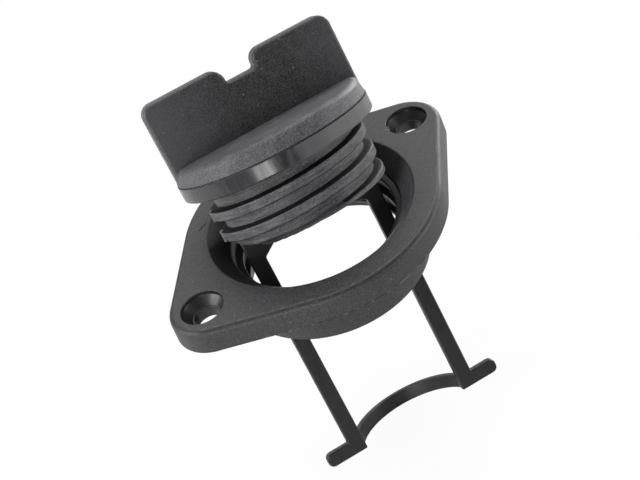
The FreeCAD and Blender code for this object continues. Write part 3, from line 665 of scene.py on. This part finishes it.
class DRAINPLUG_OT_socket(bpy.types.Operator):
    """Model the flange socket: lobed plate, conical seat, screw holes, collar and inner thread"""
    bl_idname = "drain_plug.socket"
    bl_label = "Socket"

    def execute(self, context):
        size = context.scene.drain_plug_socket
        looks = context.scene.drain_plug_finishes
        plate = self.plate(size)
        outer = size.collar_radius
        end = -size.collar_length
        fillet = 0.4 * MM
        collar = turned("collar", [(outer - fillet, end), (outer, end + fillet), (outer, -fillet),
                                   (outer + fillet, 0.0), (outer + fillet, 1.0 * MM)])
        cut(plate, collar, "UNION")
        cut(plate, self.bore_tool(size))
        # The right screw hole lets more light through, so its lower rim flares wider.
        for side, flare in ((-1, 0.3 * MM), (1, 0.7 * MM)):
            cut(plate, self.hole_tool(size, side * size.hole_spacing / 2, flare))
        finish_piece(plate)
        ridge = wound_ridge("inner_thread", size.bore_radius + SOFT, size.ridge_crest,
                            size.thickness - size.ridge_depth, size.ridge_root_width, size.ridge_crest_width,
                            begin=math.radians(307), turns=2.14, pitch=context.scene.drain_plug_plug.pitch)
        finish_piece(ridge, 50)
        join(plate, ridge, *self.dent(size))

        def choose(centre, normal):
            if centre.z > size.thickness + 0.003 * MM:
                return 2
            reach = math.hypot(centre.x, centre.y)
            foot = size.thickness - size.seat_depth
            inside = (reach < size.bore_radius + 0.2 * MM and abs(normal.z) < 0.95
                      and -size.collar_length + 0.1 * MM < centre.z < foot)
            off_hole = math.hypot(abs(centre.x) - size.hole_spacing / 2, centre.y)
            in_hole = off_hole < size.sink_radius + 0.05 * MM and centre.z < size.thickness - 0.2 * MM
            return 1 if inside or in_hole else 0

        give_slots(plate, looks, (nylon_moulded_spark_eroded, nylon_moulded_polished_core,
                                  nylon_moulded_grime_and_painted_shade), choose)
        plate.name = "socket_moulding"
        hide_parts("socket")
        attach(plate, "socket")
        return {"FINISHED"}

    def dent(self, size):
        """A short dark nick in the top face, beside the seat, as two thin bars with their corners in mm."""
        low, high = size.thickness - 0.2 * MM, size.thickness + 0.01 * MM
        return [block("nick", (left * MM, front * MM, low), (right * MM, back * MM, high))
                for left, right, front, back in ((-15.5, -14.2, 17.72, 17.95), (-14.4, -12.9, 17.88, 18.16))]

    def plate(self, size):
        """The lobed plate is the hull of a round middle and two round ends."""
        deselect()
        lobe_x = size.half_length - size.lobe_radius
        parts = []
        for x, radius, steps in ((0, size.radius, 256), (lobe_x, size.lobe_radius, 120),
                                 (-lobe_x, size.lobe_radius, 120)):
            bpy.ops.mesh.primitive_cylinder_add(vertices=steps, radius=radius, depth=size.thickness,
                                                location=(x, 0, size.thickness / 2))
            settle()
            parts.append(bpy.context.object)
        obj = join(parts[0], *parts[1:])
        edit(obj, "VERT")
        pick_all()
        bpy.ops.mesh.convex_hull()
        pick_all()
        bpy.ops.mesh.dissolve_limited(angle_limit=math.radians(0.4))
        pick(obj, "VERT", lambda spot, item: near(spot.z, size.thickness))
        bpy.ops.transform.resize(value=(1 - size.draft / size.half_length, 1 - size.draft / size.radius, 1),
                                 center_override=(0, 0, size.thickness))
        pick(obj, "EDGE", lambda spot, item: near(item.verts[0].co.z, size.thickness)
             and near(item.verts[1].co.z, size.thickness))
        bevel(size.edge, 6)
        pick(obj, "EDGE", lambda spot, item: near(item.verts[0].co.z, 0) and near(item.verts[1].co.z, 0))
        bevel(SOFT, 2)
        leave()
        return obj

    def bore_tool(self, size):
        """The bore from below, its flared end, the conical seat and the seat's rounded lip."""
        top = size.thickness
        foot = size.thickness - size.seat_depth
        low = -size.collar_length
        bore = size.bore_radius
        flare = size.bore_end + 0.6 * MM
        lip = 0.5 * MM
        slope = math.degrees(math.atan2(size.seat_radius - bore, size.seat_depth))
        rings = [(flare, low - 1.0 * MM), (flare, low), (size.bore_end, low + 0.6 * MM),
                 (bore, foot - SOFT), (bore + SOFT, foot + 0.2 * MM)]
        rings += bend(size.seat_radius + lip, top - lip, lip, 180 - slope, 100, 4)
        rings += [(size.seat_radius + 0.6 * MM, top + 1.0 * MM)]
        return turned("bore_tool", rings)

    def hole_tool(self, size, x, flare):
        """A screw hole from below: flared rim, straight part, ledge, countersink and round lip."""
        top = size.thickness
        rim = size.sink_radius
        hole = size.hole_radius
        ledge = hole + SOFT
        foot = top - 0.9 * MM - (rim - ledge)
        lip = 0.2 * MM
        rings = [(hole + flare + 1.0 * MM, -1.0 * MM), (hole + flare, 0.0), (hole, flare),
                 (hole, foot - 0.1 * MM), (hole + 0.1 * MM, foot), (ledge, foot),
                 (rim - 0.1 * MM, top - 1.0 * MM), (rim, top - 0.8 * MM)]
        rings += bend(rim + lip, top - lip, lip, 180, 105, 4)
        rings += [(rim + SOFT, top + 1.0 * MM)]
        return turned("hole_tool", rings, 96, (x, 0))


class DRAINPLUG_OT_plug(bpy.types.Operator):
    """Model the plug: notched wing handle, stepped cap, hollow shank and outer thread"""
    bl_idname = "drain_plug.plug"
    bl_label = "Plug"

    def execute(self, context):
        size = context.scene.drain_plug_plug
        looks = context.scene.drain_plug_finishes
        body = self.turned_body(size)
        wing = self.wing(size)
        cut(body, wing, "UNION")
        self.root_fillet(body, size)
        finish_piece(body)
        ridge = wound_ridge("outer_thread", size.core - 0.4 * MM, size.crest, -size.ridge_depth,
                            size.ridge_root_width, size.ridge_crest_width,
                            begin=math.radians(197), turns=2.7, pitch=size.pitch)
        edit(ridge)
        pick_all()
        bpy.ops.mesh.bisect(plane_co=(0, 0, -size.shank), plane_no=(0, 0, 1), use_fill=True, clear_inner=True)
        leave()
        finish_piece(ridge, 50)
        join(body, ridge, *self.flash(size))
        root = size.cap_top + 0.05 * MM
        side = size.handle_thickness / 2 + 0.6 * MM
        tag = -size.crest + 0.65 * MM
        run_out = -11.2 * MM

        def choose(centre, normal):
            if centre.z > root and abs(centre.y) < side:
                return 1
            if centre.x < tag and abs(centre.y) < SOFT and centre.z < 0:
                return 3
            # The thread's flanks take the dark material, whose colour is painted shade in the thread's
            # corners.
            flank = math.hypot(centre.x, centre.y) > size.core + 0.1 * MM and run_out < centre.z < 0
            return 2 if flank and abs(normal.z) > 0.5 else 0

        give_slots(body, looks, (nylon_moulded_rubbed, nylon_moulded_blasted, nylon_moulded_grime_and_painted_shade,
                                 nylon_moulded_flash), choose)
        body.name = "plug_moulding"
        lean(body)
        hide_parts("plug")
        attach(body, "plug")
        return {"FINISHED"}

    def flash(self, size):
        """Tags of flash on the left of two ridges, where the mould's halves met."""
        tags = []
        lower = -9.26 * MM
        for height in (lower, lower + size.pitch):
            tag = block("flash", (-size.crest - 0.18 * MM, -0.2 * MM, height - 1.2 * MM),
                        (-size.crest + 0.6 * MM, 0.2 * MM, height + 1.3 * MM))
            edit(tag)
            pick_all()
            bevel(0.1 * MM, 2)
            leave()
            tags.append(tag)
        return tags

    def turned_body(self, size):
        """The hollow shank and the cap, from the stud's bore round to the cap's rounded top."""
        end = -size.shank
        base = size.seal_height
        top = size.cap_top
        room, bore, boss, hollow = size.stud_room, size.stud_bore, size.boss_radius, size.hollow_radius
        ledge = -size.stud_ledge
        deep = end + size.hollow_depth
        fillet = 0.5 * MM
        rings = [(room, -size.stud_ceiling), (room, ledge), (bore, ledge), (bore, end + SOFT),
                 (bore + SOFT, end), (boss - SOFT, end), (boss, end + SOFT), (boss, deep - fillet),
                 (boss + fillet, deep), (hollow - fillet, deep), (hollow, deep - fillet),
                 (hollow, end + SOFT), (hollow + SOFT, end), (size.core - 0.4 * MM, end),
                 (size.core, end + 0.4 * MM), (size.core, base), (size.cap_radius - 0.1 * MM, base),
                 (size.cap_radius, base + 0.1 * MM), (size.cap_radius - SOFT, top - 1.6 * MM)]
        rings += bend(size.cap_radius - 1.8 * MM, top - 1.5 * MM, 1.5 * MM, 10, 90, 8)
        return turned("plug_body", rings)

    def wing(self, size):
        """The handle plate with its notch and rounded edges."""
        half = size.handle_length / 2
        thick = size.handle_thickness / 2
        top = size.handle_top
        low = size.seal_height + SOFT
        obj = block("wing", (-half, -thick, low), (half, thick, top))
        floor = top - size.notch_depth
        notch = block("notch", (-size.notch_left, -2 * thick, floor),
                      (size.notch_width - size.notch_left, 2 * thick, 2 * top))
        cut(obj, notch)
        edit(obj)

        def across(spot, item):
            return near(spot.y, 0) and abs(item.verts[0].co.y - item.verts[1].co.y) > 1 * MM

        pick(obj, "EDGE", lambda spot, item: across(spot, item) and near(spot.z, top))
        bevel(size.handle_corner, 10)
        pick(obj, "EDGE", lambda spot, item: across(spot, item) and near(spot.z, floor))
        bevel(0.5 * MM, 3)
        pick(obj, "EDGE", lambda spot, item: near(abs(item.verts[0].co.y), thick)
             and near(abs(item.verts[1].co.y), thick)
             and len(item.link_faces) == 2
             and item.calc_face_angle(0) > 0.5
             and spot.z > low + 0.5 * MM)
        bevel(size.handle_edge, 5)
        leave()
        return obj

    def root_fillet(self, body, size):
        """A small fillet where the wing stands on the cap."""
        edit(body)
        thick = size.handle_thickness / 2
        pick(body, "EDGE", lambda spot, item: near(spot.z, size.cap_top, 0.02 * MM)
             and near(abs(spot.y), thick, 0.02 * MM)
             and near(abs(item.verts[0].co.y), thick, 0.02 * MM)
             and abs(item.verts[0].co.x - item.verts[1].co.x) > 2 * MM)
        bevel(0.5 * MM, 3)
        leave()


class DRAINPLUG_OT_seal_ring(bpy.types.Operator):
    """Model the rubber seal ring under the cap"""
    bl_idname = "drain_plug.seal_ring"
    bl_label = "Seal ring"

    def execute(self, context):
        size = context.scene.drain_plug_plug
        looks = context.scene.drain_plug_finishes
        inner = size.core + 0.05 * MM
        outer = size.seal_radius
        top = size.seal_height
        lower, upper = 0.4 * MM, 0.22 * MM
        rings = [(inner, SOFT), (inner + SOFT, 0.0)]
        rings += bend(outer - lower, lower, lower, -90, 0, 6)
        rings += bend(outer - upper, top - upper, upper, 0, 90, 3)
        rings += [(inner + 0.2 * MM, top), (inner, top - 0.2 * MM), (inner, SOFT)]
        ring = turned("seal_ring_rubber", rings, closed=True)
        finish_piece(ring, 50)
        give_slots(ring, looks, (nitrile_rubber_press_moulded,))
        lean(ring)
        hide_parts("seal_ring")
        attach(ring, "plug")
        return {"FINISHED"}


class DRAINPLUG_OT_retainer(bpy.types.Operator):
    """Model the retainer: two flat legs with feet, the bow between them, the bridge and its stud"""
    bl_idname = "drain_plug.retainer"
    bl_label = "Retainer"

    def execute(self, context):
        size = context.scene.drain_plug_retainer
        looks = context.scene.drain_plug_finishes
        moulding = self.legs(size)
        bow = self.bow(size)
        cut(moulding, bow, "UNION")
        cut(moulding, self.hub(size), "UNION")
        finish_piece(moulding, 40)
        give_slots(moulding, looks, (polythene_moulded_satin,))
        moulding.name = "retainer_moulding"
        lean(moulding)
        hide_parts("retainer")
        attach(moulding, "retainer")
        return {"FINISHED"}

    def legs(self, size):
        """One leg from its foot up to the bridge by extrusions, then mirrored."""
        near_y = size.leg_offset
        far_y = size.leg_offset + size.leg_thickness
        inner = size.leg_inner
        outer = size.leg_inner + size.leg_width
        low = -size.bottom
        foot = low + size.foot_height
        bridge_low = -size.top - size.bridge
        haunch_low = bridge_low - size.haunch_height
        haunch_in = inner - size.haunch_reach
        obj = block("legs", (inner, near_y, low), (outer, far_y, foot))
        edit(obj, "FACE")
        pick(obj, "FACE", lambda spot, item: item.normal.x > 0.9)
        bpy.ops.mesh.extrude_region_move(TRANSFORM_OT_translate={"value": (size.foot_reach - outer, 0, 0)})
        pick(obj, "FACE", lambda spot, item: item.normal.z > 0.9 and spot.x < outer)
        for rise in (haunch_low - foot, size.haunch_height, -size.top - bridge_low):
            bpy.ops.mesh.extrude_region_move(TRANSFORM_OT_translate={"value": (0, 0, rise)})
        pick(obj, "FACE", lambda spot, item: item.normal.x < -0.9 and spot.z > haunch_low)
        bpy.ops.mesh.extrude_region_move(TRANSFORM_OT_translate={"value": (-size.haunch_reach, 0, 0)})
        pick(obj, "VERT", lambda spot, item: near(spot.x, haunch_in) and near(spot.z, haunch_low))
        bpy.ops.transform.translate(value=(0, 0, size.haunch_height))
        pick_all()
        bpy.ops.mesh.remove_doubles(threshold=0.01 * MM)
        pick(obj, "FACE", lambda spot, item: item.normal.x < -0.9 and spot.z > bridge_low)
        bpy.ops.mesh.extrude_region_move(TRANSFORM_OT_translate={"value": (-haunch_in, 0, 0)})
        bpy.ops.mesh.delete(type="FACE")
        leave()
        apply_modifier(obj, "MIRROR", use_axis=(True, False, False), use_clip=True, merge_threshold=0.01 * MM)
        edit(obj)
        pick_all()
        bpy.ops.mesh.normals_make_consistent(inside=False)
        pick(obj, "EDGE", lambda spot, item: near(abs(spot.x), size.foot_reach)
             and abs(item.verts[0].co.y - item.verts[1].co.y) > 1 * MM)
        bevel(1.2 * MM, 5)
        pick(obj, "EDGE", lambda spot, item: len(item.link_faces) == 2 and item.calc_face_angle(0) > 0.7)
        bevel(SOFT, 3)
        leave()
        return obj

    def bow(self, size):
        """A flat bar end spun round the bow's own centre."""
        centre = Vector((0, -size.bow_offset, -size.bottom))
        inner = size.bow_radius
        outer = inner + size.bow_wall
        begin = math.radians(13)
        obj = block("bow", (inner, -0.1 * MM, 0), (outer, 0.1 * MM, size.foot_height))
        edit(obj, "FACE")
        pick(obj, "FACE", lambda spot, item: item.normal.y < 0.9)
        bpy.ops.mesh.delete(type="FACE")
        pick_all()
        bpy.ops.transform.translate(value=(0, -0.1 * MM, 0))
        bpy.ops.mesh.spin(steps=64, angle=math.pi - 2 * begin, center=(0, 0, 0), axis=(0, 0, 1))
        leave()
        return self.close_bow(obj, begin, centre)

    def close_bow(self, obj, begin, centre):
        """Fills the bow's ends and turns it so that it hangs between the feet."""
        edit(obj)
        close_ends()
        bpy.ops.mesh.remove_doubles(threshold=0.001 * MM)
        bpy.ops.mesh.normals_make_consistent(inside=False)
        leave()
        spun_up = max(vertex.co.y for vertex in obj.data.vertices) > 5 * MM
        start = begin if spun_up else math.pi - begin
        obj.matrix_world = Matrix.Translation(centre) @ Matrix.Rotation(start, 4, "Z")
        take(obj)
        settle()
        edit(obj)
        pick(obj, "EDGE", lambda spot, item: len(item.link_faces) == 2 and item.calc_face_angle(0) > 1.2)
        bevel(0.2 * MM, 2)
        leave()
        return obj

    def hub(self, size):
        """The round middle of the bridge with the stud on it, whose head snaps into the plug."""
        top = -size.top
        low = top - size.bridge
        plate, stem, head = size.hub_radius, size.stud_radius, size.stud_head
        tip = top + size.stud_top
        edge = 0.2 * MM
        lead = 0.5 * MM
        rings = [(plate - edge, low), (plate, low + edge), (plate, top - edge), (plate - edge, top),
                 (stem, top), (stem, top + size.stud_stem), (head, top + size.stud_stem),
                 (head, tip - lead), (head - lead, tip)]
        return turned("hub", rings, 96)


class DRAINPLUG_OT_stage(bpy.types.Operator):
    """Set the pale floor, the soft lamps and the camera"""
    bl_idname = "drain_plug.stage"
    bl_label = "Stage"

    def execute(self, context):
        looks = context.scene.drain_plug_finishes
        low = CAD_BOX[0][2]
        deselect()
        bpy.ops.mesh.primitive_plane_add(size=6, location=(0, 0, low - 0.0002))
        floor = name_it("floor")
        floor.data.materials.append(paper_board_matt(looks))
        self.world(context)
        for name, place, width, height, power in LAMPS:
            self.lamp(name, place, width, height, power)
        camera = bpy.data.cameras.new("camera")
        camera.sensor_width = 36
        camera.lens = 67.33
        camera.clip_start = 0.01
        eye = bpy.data.objects.new("camera", camera)
        eye.location = (-0.0923904, -0.1622485, 0.1472321)
        eye.rotation_euler = [math.radians(degrees) for degrees in (48.6857, 18.2061, -44.8766)]
        context.scene.collection.objects.link(eye)
        context.scene.camera = eye
        context.scene.view_settings.view_transform = "Standard"
        return {"FINISHED"}

    def lamp(self, name, place, width, height, power):
        light = bpy.data.lights.new(name, "AREA")
        light.shape = "RECTANGLE"
        light.size = width
        light.size_y = height
        light.energy = power
        obj = bpy.data.objects.new(name, light)
        obj.location = place
        aim = Vector((0, 0, 0)) - Vector(place)
        obj.rotation_euler = aim.to_track_quat("-Z", "Y").to_euler()
        bpy.context.scene.collection.objects.link(obj)

    def world(self, context):
        world = bpy.data.worlds.new("studio")
        world.use_nodes = True
        tree = world.node_tree
        tree.nodes.clear()
        # A tent that is dim towards the front, where its opening is.
        way = add_node(tree, "ShaderNodeTexCoord").outputs["Generated"]
        ahead = add_node(tree, "ShaderNodeVectorMath", {"operation": "DOT_PRODUCT"},
                         {0: way, 1: (-0.20, -0.96, 0.18)})
        glow = add_node(tree, "ShaderNodeMapRange", {"interpolation_type": "SMOOTHSTEP"},
                        {"Value": ahead.outputs["Value"], "From Min": 0.45, "From Max": 0.97,
                         "To Min": 0.52, "To Max": 0.10})
        soft = add_node(tree, "ShaderNodeBackground", None,
                        {"Color": (1, 1, 1, 1), "Strength": glow.outputs[0]})
        white = add_node(tree, "ShaderNodeBackground", None, {"Color": (1, 1, 1, 1), "Strength": 1.0})
        path = add_node(tree, "ShaderNodeLightPath")
        both = add_node(tree, "ShaderNodeMixShader", None,
                        {0: path.outputs["Is Camera Ray"], 1: soft.outputs[0], 2: white.outputs[0]})
        add_node(tree, "ShaderNodeOutputWorld", None, {"Surface": both.outputs[0]})
        context.scene.world = world


class DRAINPLUG_PT_panel(bpy.types.Panel):
    """Buttons for each piece, with the sizes and finishes under them"""
    bl_label = "Drain plug"
    bl_idname = "DRAINPLUG_PT_panel"
    bl_space_type = "VIEW_3D"
    bl_region_type = "UI"
    bl_category = "Drain plug"

    def draw(self, context):
        for piece in PIECES:
            self.layout.operator(piece.bl_idname)
        for group in GROUPS:
            holder = getattr(context.scene, group)
            box = self.layout.box()
            for name in holder.__annotations__:
                box.prop(holder, name)


GROUPS = {
    "drain_plug_socket": SocketSizes,
    "drain_plug_plug": PlugSizes,
    "drain_plug_retainer": RetainerSizes,
    "drain_plug_pose": RestPose,
    "drain_plug_finishes": Finishes,
}
PIECES = (DRAINPLUG_OT_socket, DRAINPLUG_OT_plug, DRAINPLUG_OT_seal_ring, DRAINPLUG_OT_retainer,
          DRAINPLUG_OT_stage)


def register():
    for group in GROUPS.values():
        bpy.utils.register_class(group)
    for name, group in GROUPS.items():
        setattr(bpy.types.Scene, name, PointerProperty(type=group))
    for piece in PIECES:
        bpy.utils.register_class(piece)
    bpy.utils.register_class(DRAINPLUG_PT_panel)


def unregister():
    bpy.utils.unregister_class(DRAINPLUG_PT_panel)
    for piece in reversed(PIECES):
        bpy.utils.unregister_class(piece)
    for name, group in reversed(list(GROUPS.items())):
        delattr(bpy.types.Scene, name)
        bpy.utils.unregister_class(group)


def main():
    register()
    bpy.ops.drain_plug.socket()
    bpy.ops.drain_plug.plug()
    bpy.ops.drain_plug.seal_ring()
    bpy.ops.drain_plug.retainer()
    bpy.ops.drain_plug.stage()
    bpy.context.view_layer.update()


if __name__ == "__main__":
    main()
